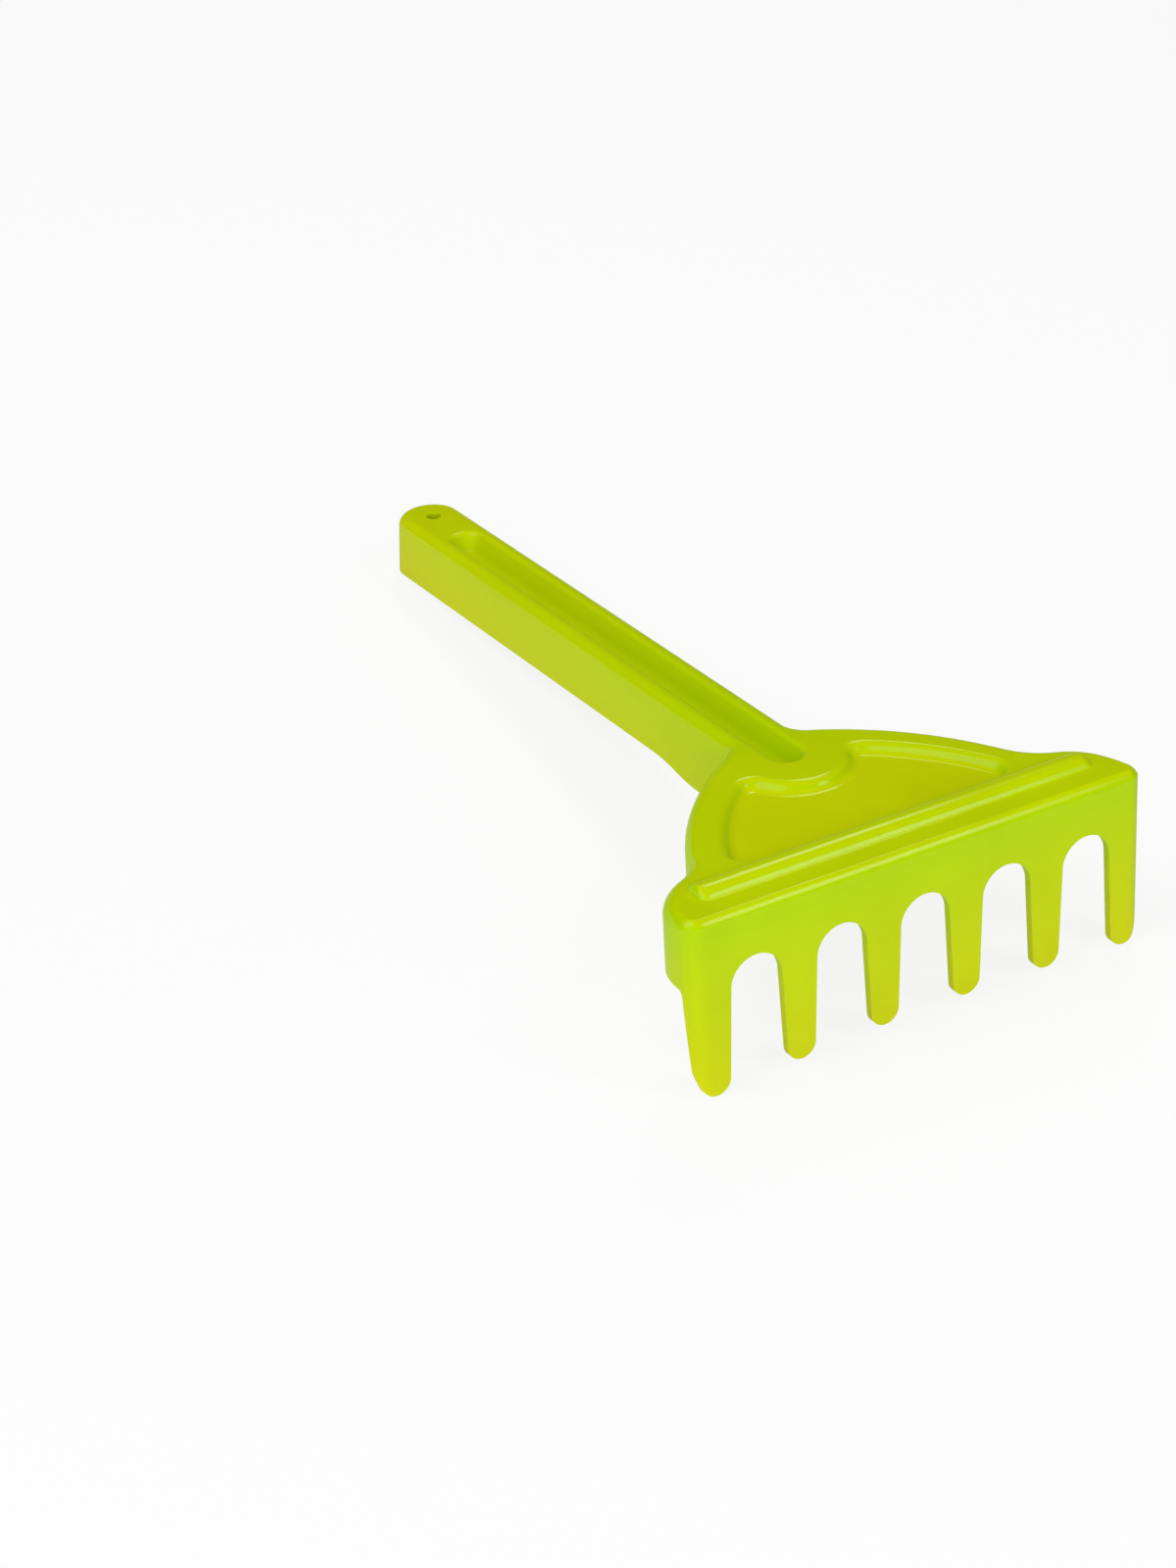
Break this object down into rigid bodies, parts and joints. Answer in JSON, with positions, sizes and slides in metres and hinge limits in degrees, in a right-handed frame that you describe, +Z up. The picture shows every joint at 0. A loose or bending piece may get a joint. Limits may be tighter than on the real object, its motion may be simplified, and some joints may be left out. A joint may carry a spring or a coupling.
{
  "type": "sand rake",
  "caption": "Child's sand rake moulded in lime plastic: a fan-shaped head with round-tipped tines below a flat ledge, and a channel handle with a finger groove and a hanging hole.",
  "frame": {"origin": "Centre of the footprint, on the floor, with the rake lying on its end tine tips and its handle end", "axes": "+Y along the rake from the tines to the handle end, X across the head, +Z up"},
  "size_m": [0.121, 0.2384, 0.0442],
  "materials": {
    "lime_plastic": "gloss"
  },
  "bodies": {
    "root": {"handle_end": "lime_plastic", "handle_rail_left": "lime_plastic", "handle_rail_right": "lime_plastic", "handle_web": "lime_plastic", "neck_collar": "lime_plastic", "fan_panel": "lime_plastic", "fan_rim_left": "lime_plastic", "fan_rim_right": "lime_plastic", "bar_ledge": "lime_plastic", "bar_bead": "lime_plastic", "bar_front": "lime_plastic", "bar_end_left": "lime_plastic", "bar_end_right": "lime_plastic", "tine_1": "lime_plastic", "tine_2": "lime_plastic", "tine_3": "lime_plastic", "tine_4": "lime_plastic", "tine_5": "lime_plastic", "tine_6": "lime_plastic"}
  },
  "joints": []
}
